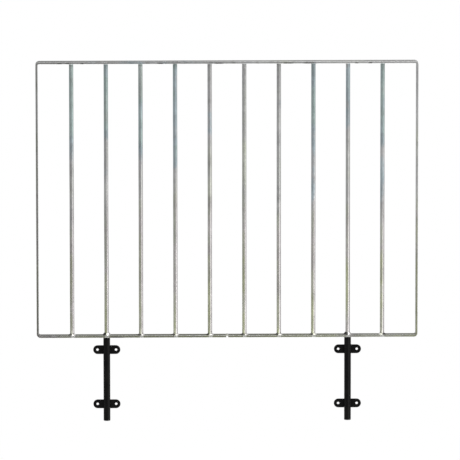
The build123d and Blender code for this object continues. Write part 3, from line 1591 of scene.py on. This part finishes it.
@dataclass
class ButtJointWeld:
    """Weld that bridges the butt joint of the hoop, with an open notch under it."""

    root_half_width: float = 3.0 * MM
    root_overlap: float = 0.15 * MM
    root_depth: float = 2.0 * MM
    root_lift: float = 0.3 * MM
    root_sag: float = 0.35 * MM
    root_sag_middle: float = 0.6
    root_waves: float = 260.0
    lap: float = 1.5 * MM
    lap_wander: float = 0.25 * MM
    lap_waves: float = 300.0
    crown: float = 1.0 * MM
    crown_sink: float = 0.02 * MM
    crown_least: float = 0.25
    end_roundness: int = 10
    end_narrowing: float = 0.1
    ripple_pitch: float = 1.7 * MM
    ripple_height: float = 0.16 * MM
    ripple_lag: float = 0.7
    crown_steps: int = 12
    root_steps: int = 6
    station_step: float = 0.35 * MM
    end_recess: float = 0.08 * MM
    # Darker at the weld's two toes.
    toe_darkening: float = 0.35

    def outline(self, y: float, weld: Span) -> list[Vector]:
        """Section of the weld at one depth.

        Args:
            y: the depth.
            weld: the weld's place.

        Returns:
            The points over the crown from left to right, then back under the root.
        """
        x = weld.middle.x
        top = weld.high.z - self.crown
        along = (y - weld.low.y) / weld.size.y
        rounding = (1 - abs(2 * along - 1) ** self.end_roundness) ** 0.5
        crown = self.crown * (self.crown_least + (1 - self.crown_least) * rounding)
        width = (self.root_half_width + self.lap) * (1 - self.end_narrowing + self.end_narrowing * rounding)
        width += self.lap_wander * noise.noise(Vector((y * self.lap_waves, 0, 4)))
        points: list[Vector] = []
        for step in range(self.crown_steps + 1):
            side = 2 * (step / self.crown_steps) - 1
            bulge = 1 - side * side
            lag = self.ripple_pitch * self.ripple_lag * bulge
            swell = self.ripple_height * abs(math.sin(math.pi * (y + lag) / self.ripple_pitch))
            rise = (crown - self.ripple_height + swell) * bulge
            points.append(Vector((x + side * width, y, top + rise - self.crown_sink)))
        for step in range(self.root_steps + 1):
            side = 1 - 2 * (step / self.root_steps)
            uneven = noise.noise(Vector((y * self.root_waves, side, 8)))
            sag = self.root_sag * (1 - side * side) * (self.root_sag_middle + uneven)
            low = top - self.root_depth + self.root_lift - sag
            points.append(Vector((x + side * (self.root_half_width + self.root_overlap), y, low)))
        return points

    def make(self, wardrobe: Wardrobe, finish: Finish) -> bpy.types.Object:
        """Builds and dresses the weld.

        Args:
            wardrobe: where its finish comes from.
            finish: what it wears.

        Returns:
            The weld.
        """
        weld = Span.of(BUTT_WELD_NODE)
        front, back = weld.low.y + self.end_recess, weld.high.y - self.end_recess
        draft = Draft()
        loops: list[list[int]] = []
        for y in [front, *evenly(front, back, self.station_step), back]:
            loop = draft.loop(self.outline(y, weld))
            for index in (loop[0], loop[self.crown_steps]):
                draft.soot_and_shade[index] = self.toe_darkening
            loops.append(loop)
        draft.rod(loops)
        piece = draft.build("butt_joint_weld", WELD_CREASE_DEG)
        wardrobe.dress(piece, finish, GRILLE_BODY, [BUTT_WELD_NODE])
        return piece


@dataclass
class Grille:
    """Hoop, uprights and their welds: everything that lifts out."""

    short_batches: tuple[float, ...] = (0.2, 0.12, 0.1, -0.12, -0.16, 0.0, 0.04, 0.16)
    leg_batches: tuple[float, float] = (0.08, 0.02)
    # Side of each foot, in degrees, that is painted in shade on the rail and on its weld.
    foot_shadow_deg: tuple[float, ...] = (182, 196, 188, 176, 200, 184, 190, -4)
    leg_shadow_deg: tuple[float, ...] = (186, 198)
    leg_tip_bevel: float = 1.5 * MM
    first_weld_seed: int = 40
    plate: Finish = field(default_factory=ZincPlate)
    flat: Finish = field(default_factory=FlatBarPlate)
    weld: Finish = field(default_factory=WeldMetal)

    def make(self, wardrobe: Wardrobe) -> list[bpy.types.Object]:
        """Builds the grille.

        Args:
            wardrobe: where its finishes come from.

        Returns:
            Its pieces.
        """
        shorts = [f"short_bar_{number}" for number in range(1, len(self.short_batches) + 1)]
        legs = [f"{hand.value}_leg_bar" for hand in Hand]
        spans = {node: Span.of(node) for node in shorts + legs}
        places = [spans[node].middle for node in shorts + legs]
        hoop = HoopOfFlatBar(shadow_side_deg=(*self.foot_shadow_deg, *self.leg_shadow_deg))
        pieces = [hoop.make(wardrobe, self.flat, places)]
        batches = self.short_batches + self.leg_batches
        for seed, (node, batch) in enumerate(zip(shorts + legs, batches)):
            bevel = self.leg_tip_bevel if node in legs else 0.0
            bar = RoundUpright(node, seed, tip_bevel=bevel, batch=batch)
            pieces.append(bar.make(wardrobe, self.plate))
        pieces.extend(self.bar_welds(wardrobe, shorts, legs, spans))
        pieces.append(ButtJointWeld().make(wardrobe, self.weld))
        return pieces

    def bar_welds(self, wardrobe: Wardrobe, shorts: list[str], legs: list[str],
                  spans: dict[str, Span]) -> list[bpy.types.Object]:
        """Builds the welds at both rails.

        Args:
            wardrobe: where their finish comes from.
            shorts: nodes of the short bars.
            legs: nodes of the leg bars.
            spans: place of each bar.

        Returns:
            The pieces.
        """
        short = spans[shorts[0]]
        radius = short.size.x / 2
        rows = (
            ("bar_top_welds", "welds_at_bar_tops", shorts + legs, short.high.z, -1, ()),
            ("bar_foot_welds", "welds_at_bar_feet", shorts, short.low.z, 1, self.foot_shadow_deg),
            ("leg_bar_welds", "welds_round_legs", legs, short.low.z, 1, self.leg_shadow_deg),
        )
        pieces: list[bpy.types.Object] = []
        for seed, (node, name, bars, rail_z, way, soot_and_shade) in enumerate(rows, start=self.first_weld_seed):
            size = Span.of(node).size
            places = [Vector((spans[bar].middle.x, spans[bar].middle.y, rail_z)) for bar in bars]
            row = BarEndWelds(node, name, places, radius, size.y / 2 - radius, way * size.z, seed,
                              shadow_sides_deg=soot_and_shade)
            pieces.append(row.make(wardrobe, self.weld))
        return pieces


# --------------------------------------------------------------------------------------------
# Sockets
# --------------------------------------------------------------------------------------------


@dataclass
class Socket:
    """A tube with two screw straps welded behind it."""

    hand: Hand
    wall: float = 1.6 * MM
    rim_radius: float = 0.45 * MM
    rim_steps: int = 4
    rim_support: float = 1.35 * MM
    tube_around: int = 64
    tube_step: float = 14.0 * MM
    strap_edge: float = 0.55 * MM
    strap_support: float = 1.5 * MM
    ear_steps: int = 28
    hole_radius: float = 3.5 * MM
    hole_to_end: float = 12.0 * MM
    hole_steps: int = 48
    hole_edge: float = 0.45 * MM
    bead_short: float = 1.6 * MM
    bead_step: float = 0.4 * MM
    bead_sink: float = 0.25 * MM
    bead_root_deg: float = 12.0
    bead_face_deg: float = 54.0
    bead_least: float = 0.08
    bead_roundness: int = 6
    bead_end_closing: float = 0.45
    bead_wobble_deg: float = 3.0
    bead_waves: float = 150.0
    bead_points: int = 8
    bead_toe: float = 0.9 * MM
    bead_in_strap: float = 0.2 * MM
    bead_belly: float = 0.45 * MM
    bead_ripple: float = 0.16 * MM
    bead_pitch: float = 1.9 * MM
    bead_lag: float = 1.1 * MM
    bead_outward: tuple[float, float] = (0.75, -0.66)
    paint: Finish = field(default_factory=BlackPaint)
    weld_paint: Finish = field(default_factory=PaintedWeld)

    def tube(self) -> bpy.types.Object:
        """Builds the tube, open at both ends, with softened rims.

        Returns:
            The tube.
        """
        span = Span.of(f"{self.hand.value}_socket_tube")
        outer = span.size.x / 2
        bore = outer - self.wall
        ends = rounded_ends(span.low.z, span.high.z, self.rim_radius, self.rim_steps)
        half = len(ends) // 2
        run = [
            span.low.z + self.rim_support,
            *evenly(span.low.z + self.rim_radius, span.high.z - self.rim_radius, self.tube_step),
            span.high.z - self.rim_support,
        ]
        walk = ends[:half] + [(z, 0.0, 0.0) for z in run] + ends[half:]
        outside = [(outer - inset, z, wear) for z, inset, wear in walk]
        inside = [(bore + inset, z, wear) for z, inset, wear in reversed(walk)]
        draft = Draft()
        loops: list[list[int]] = []
        for radius, z, wear in outside + inside:
            centre = Vector((span.middle.x, span.middle.y, z))
            loops.append(draft.loop(circle(centre, radius, self.tube_around), wear=wear))
        draft.skin(loops, around=True)
        return draft.build(f"{self.hand.value}_tube", FLAT_CREASE_DEG)

    def ear_loop(self, centre: Vector, half_length: float, radius: float, y: float) -> list[Vector]:
        """Outline of a strap with round ends.

        Args:
            centre: middle of the outline.
            half_length: from the middle to the centre of each round end.
            radius: radius of the ends.
            y: plane of the outline.

        Returns:
            The points in order.
        """
        points: list[Vector] = []
        for side, first in ((1, -90), (-1, 90)):
            for step in range(self.ear_steps + 1):
                turn = math.radians(first + 180 * step / self.ear_steps)
                x = centre.x + side * half_length + radius * math.cos(turn)
                points.append(Vector((x, y, centre.z + radius * math.sin(turn))))
        return points

    def edge_walk(self, front: float, back: float, edge: float) -> list[Station]:
        """Stations from the front face of a strap round an edge to its back face.

        Args:
            front: Y of the front face.
            back: Y of the back face.
            edge: radius of the rounded edge.

        Returns:
            (inset, Y, wear) for each station.
        """
        walk = [(inset, y, wear) for y, inset, wear in rounded_ends(front, back, edge, self.rim_steps)]
        return [(self.strap_support, front, 0.0), *walk, (self.strap_support, back, 0.0)]

    def strap(self, level: Level) -> bpy.types.Object:
        """Builds one strap, with rounded edges and a punched hole in each ear.

        Args:
            level: which strap.

        Returns:
            The strap.
        """
        span = Span.of(f"{self.hand.value}_{level.value}_strap")
        radius = span.size.z / 2
        half_length = span.size.x / 2 - radius
        hole_x = span.size.x / 2 - self.hole_to_end
        draft = Draft()
        rim = [
            draft.loop(self.ear_loop(span.middle, half_length, radius - inset, y), wear=wear)
            for inset, y, wear in self.edge_walk(span.low.y, span.high.y, self.strap_edge)
        ]
        draft.skin(rim)
        fronts, backs = [rim[0]], [rim[-1]]
        for side in (-1, 1):
            wall: list[list[int]] = []
            for inset, y, wear in self.edge_walk(span.low.y, span.high.y, self.hole_edge):
                centre = Vector((span.middle.x + side * hole_x, y, span.middle.z))
                ring = circle(centre, self.hole_radius + inset, self.hole_steps, Z_AXIS)
                wall.append(draft.loop(ring, wear=wear))
            draft.skin(wall)
            fronts.append(wall[0])
            backs.append(wall[-1])
        draft.fill(fronts)
        draft.fill(backs)
        strap = draft.build(f"{self.hand.value}_{level.value}_ear_strap", FLAT_CREASE_DEG)
        keep_flats_flat(strap)
        return strap

    def beads(self) -> bpy.types.Object:
        """Builds the weld beads in the crevices between the tube and its straps.

        Returns:
            One piece with all four beads.
        """
        tube = Span.of(f"{self.hand.value}_socket_tube")
        draft = Draft()
        rng = random.Random(self.hand.value)
        for level in Level:
            strap = Span.of(f"{self.hand.value}_{level.value}_strap")
            for side in (-1, 1):
                self.bead(draft, tube, strap, side, rng.uniform(0, 90))
        return draft.build(f"{self.hand.value}_strap_beads", WELD_CREASE_DEG)

    def bead(self, draft: Draft, tube: Span, strap: Span, side: int, seed: float) -> None:
        """Adds one bead, run up the crevice beside the tube.

        Args:
            draft: where it goes.
            tube: the tube's place.
            strap: the strap it holds.
            side: -1 for the left of the tube, 1 for the right.
            seed: shifts its unevenness.
        """
        axis = tube.middle
        radius = tube.size.x / 2
        sunk = radius - self.bead_sink
        root = math.radians(self.bead_root_deg)
        low, high = strap.low.z + self.bead_short, strap.high.z - self.bead_short
        loops: list[list[int]] = []
        for z in [low, *evenly(low, high, self.bead_step), high]:
            along = (z - low) / (high - low)
            body = max(self.bead_least, (1 - abs(2 * along - 1) ** self.bead_roundness)) ** 0.5
            wobble = self.bead_wobble_deg * noise.noise(Vector((z * self.bead_waves, seed, 0)))
            spread = 1 - self.bead_end_closing + self.bead_end_closing * body
            face = math.radians(self.bead_face_deg * spread + wobble)
            lip = Vector((radius * math.sin(face), radius * math.cos(face)))
            toe = Vector((radius * math.sin(face) + self.bead_toe * body, radius))
            outline = [Vector((sunk * math.sin(turn), sunk * math.cos(turn))) for turn in (root, face)]
            for step in range(self.bead_points + 1):
                t = step / self.bead_points
                lag = self.bead_lag * (1 - (2 * t - 1) ** 2)
                swell = abs(math.sin(math.pi * (z + lag) / self.bead_pitch + seed))
                belly = (self.bead_belly * body + self.bead_ripple * swell) * math.sin(math.pi * t)
                outline.append(lip.lerp(toe, t) + Vector(self.bead_outward) * belly)
            for x in (toe.x, sunk * math.sin(root)):
                outline.append(Vector((x, radius + self.bead_in_strap)))
            loops.append(draft.loop(Vector((axis.x + side * p.x, axis.y + p.y, z)) for p in outline))
        draft.rod(loops)

    def make(self, wardrobe: Wardrobe) -> list[bpy.types.Object]:
        """Builds and dresses the socket.

        Args:
            wardrobe: where its finishes come from.

        Returns:
            Its pieces.
        """
        hand = self.hand.value
        tube = self.tube()
        wardrobe.dress(tube, self.paint, SOCKET_BODY, [f"{hand}_socket_tube"])
        pieces = [tube]
        for level in Level:
            strap = self.strap(level)
            wardrobe.dress(strap, self.paint, SOCKET_BODY, [f"{hand}_{level.value}_strap"])
            pieces.append(strap)
        beads = self.beads()
        wardrobe.dress(beads, self.weld_paint, SOCKET_BODY, [f"{hand}_strap_welds"])
        pieces.append(beads)
        return pieces


# --------------------------------------------------------------------------------------------
# Studio
# --------------------------------------------------------------------------------------------


@dataclass
class Studio:
    """Plain floor, soft light and the camera."""

    floor_drop: float = 0.9
    floor_radius: float = 5.0
    floor_around: int = 96
    floor_rings: tuple[float, ...] = (0.1, 0.3, 0.5, 0.75, 1.0)
    camera_distance: float = 22.0
    camera_azimuth_deg: float = -0.8
    camera_elevation_deg: float = 10.2
    camera_roll_deg: float = -0.05
    camera_clip: float = 100.0
    view_width: float = 1.2862
    aim_side: float = 0.0082
    aim_above_rail: float = 0.3036
    room: Stops = (
        (0.0, (0.38, 0.385, 0.39)), (0.3, (0.32, 0.322, 0.325)), (0.55, (0.33, 0.33, 0.33)),
        (0.75, (0.42, 0.42, 0.415)), (0.9, (0.62, 0.62, 0.61)), (1.0, (0.70, 0.70, 0.69)),
    )
    overhead: Colour = (1.5, 1.5, 1.5)
    overhead_from: float = 0.5
    overhead_to: float = 0.95
    key_strength: float = 1.2
    key_angle_deg: float = 30.0
    key_towards: tuple[float, float, float] = (0.35, -0.55, 0.8)
    box_place: tuple[float, float, float] = (1.4, -1.3, -0.38)
    box_aim: tuple[float, float, float] = (0.3, 0.0, 0.3)
    box_width: float = 1.0
    box_height: float = 1.3
    box_power: float = 7.0

    def floor(self, wardrobe: Wardrobe) -> None:
        """Makes the floor, a door's height below the grille.

        Args:
            wardrobe: where its finish comes from.
        """
        draft = Draft()
        rings = [
            draft.loop(circle(Vector(), self.floor_radius * share, self.floor_around))
            for share in self.floor_rings
        ]
        draft.cap(rings[0])
        draft.skin(rings)
        floor = draft.build("studio_floor")
        low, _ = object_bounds()
        floor.location = (0, 0, low.z - self.floor_drop)
        floor.data.materials.append(wardrobe.material(PaleFloor()))
        floor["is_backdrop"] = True

    def surroundings(self) -> None:
        """Soft light from all round: bright overhead and on the right, darker on the left and behind."""
        world = bpy.data.worlds.new("soft_studio")
        bpy.context.scene.world = world
        world.use_nodes = True
        w = Wiring(world.node_tree)
        back = world.node_tree.nodes["Background"]
        x, _, z = w.axes(w.add("TexCoord").outputs["Generated"])
        from_left = w.maths("MULTIPLY_ADD", x, 0.5, 0.5)
        across = w.ramp(from_left, self.room)
        light = w.blend(w.remap(z, self.overhead_from, self.overhead_to), across, self.overhead)
        seen = w.add("LightPath").outputs["Is Camera Ray"]
        w.feed(back.inputs["Color"], w.blend(seen, light, WHITE))
        w.feed(back.inputs["Strength"], 1.0)

    def hang(self, light: bpy.types.Light, towards: Vector) -> bpy.types.Object:
        """Puts a light in the scene.

        Args:
            light: the light.
            towards: the side that its back faces.

        Returns:
            The object that holds it.
        """
        holder = bpy.data.objects.new(light.name, light)
        holder.rotation_euler = towards.to_track_quat("Z", "Y").to_euler()
        bpy.context.scene.collection.objects.link(holder)
        return holder

    def lights(self) -> None:
        """Broad light from above, and a near softbox on the right of the grille."""
        key = bpy.data.lights.new("soft_key", "SUN")
        key.energy = self.key_strength
        key.angle = math.radians(self.key_angle_deg)
        self.hang(key, Vector(self.key_towards))
        box = bpy.data.lights.new("near_softbox", "AREA")
        box.shape = "RECTANGLE"
        box.size = self.box_width
        box.size_y = self.box_height
        box.energy = self.box_power
        near = self.hang(box, Vector(self.box_place) - Vector(self.box_aim))
        near.location = self.box_place
        near.visible_camera = False

    def camera(self) -> None:
        """Puts up a long-lens camera, a little above the grille and square to it."""
        rail = Span.of(HOOP_NODE)
        target = Vector((self.aim_side, rail.middle.y, rail.low.z + self.aim_above_rail))
        raised = math.radians(self.camera_elevation_deg)
        round_to = math.radians(self.camera_azimuth_deg)
        level = Vector((math.sin(round_to), -math.cos(round_to), 0))
        away = level * math.cos(raised) + Z_AXIS * math.sin(raised)
        data = bpy.data.cameras.new("camera")
        data.lens = data.sensor_width * self.camera_distance / self.view_width
        data.clip_end = self.camera_clip
        camera = bpy.data.objects.new("camera", data)
        place = Matrix.Translation(target + away * self.camera_distance)
        roll = Matrix.Rotation(math.radians(self.camera_roll_deg), 4, "Z")
        camera.matrix_world = place @ away.to_track_quat("Z", "Y").to_matrix().to_4x4() @ roll
        bpy.context.scene.collection.objects.link(camera)
        bpy.context.scene.camera = camera

    def make(self, wardrobe: Wardrobe) -> None:
        """Sets up camera, floor and light.

        Args:
            wardrobe: where the floor's finish comes from.
        """
        self.camera()
        self.floor(wardrobe)
        self.surroundings()
        self.lights()
        bpy.context.scene.view_settings.view_transform = "Standard"


def main() -> None:
    """Builds the studio, the grille and the two sockets in order."""
    logging.basicConfig(level=logging.INFO, format="%(name)s: %(message)s")
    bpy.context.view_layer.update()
    wardrobe = Wardrobe()
    Studio().make(wardrobe)
    pieces = Grille().make(wardrobe)
    for hand in Hand:
        pieces.extend(Socket(hand).make(wardrobe))
    LOG.info("%d pieces in all", len(pieces))


if __name__ == "__main__":
    main()
